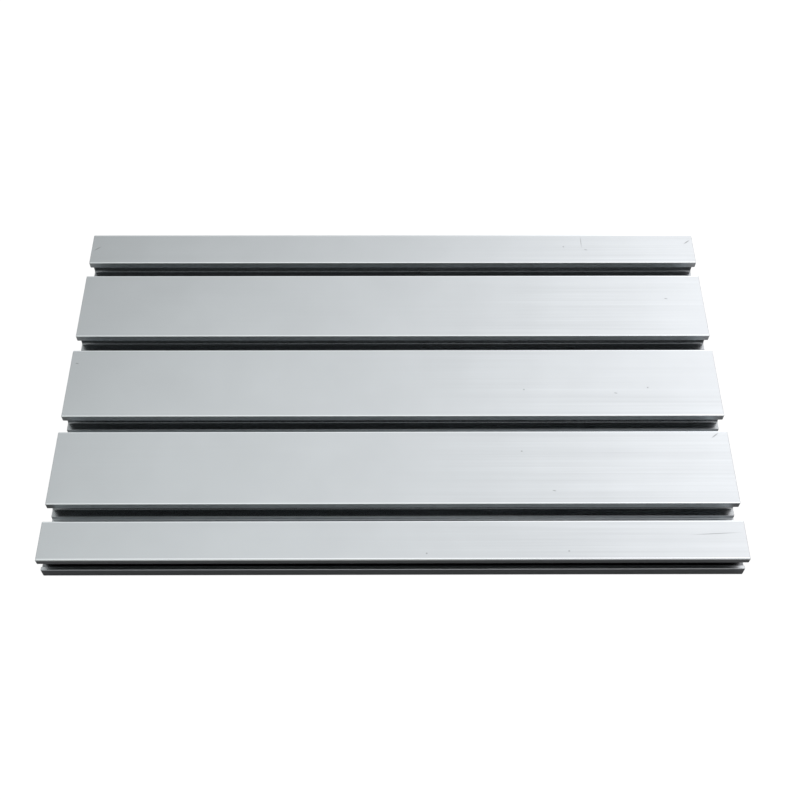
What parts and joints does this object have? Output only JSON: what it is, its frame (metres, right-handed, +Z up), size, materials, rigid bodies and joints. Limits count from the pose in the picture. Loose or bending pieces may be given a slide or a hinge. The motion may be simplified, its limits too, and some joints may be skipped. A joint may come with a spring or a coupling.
{
  "type": "aluminium t-slot plate profile",
  "caption": "Flat extruded aluminium plate with undercut slots along its top face and a narrow slot in each long edge, sawn square at both ends.",
  "frame": {"origin": "centre of the underside", "axes": "+X along the slots (the direction of extrusion), +Y across the slots, +Z up, out of the slotted face"},
  "size_m": [0.3, 0.18, 0.015],
  "materials": {
    "anodised_aluminium": "fine satin clear anodising with faint die lines along the length; sawn ends"
  },
  "bodies": {
    "root": {"slotted_plate": "anodised_aluminium"}
  },
  "joints": []
}
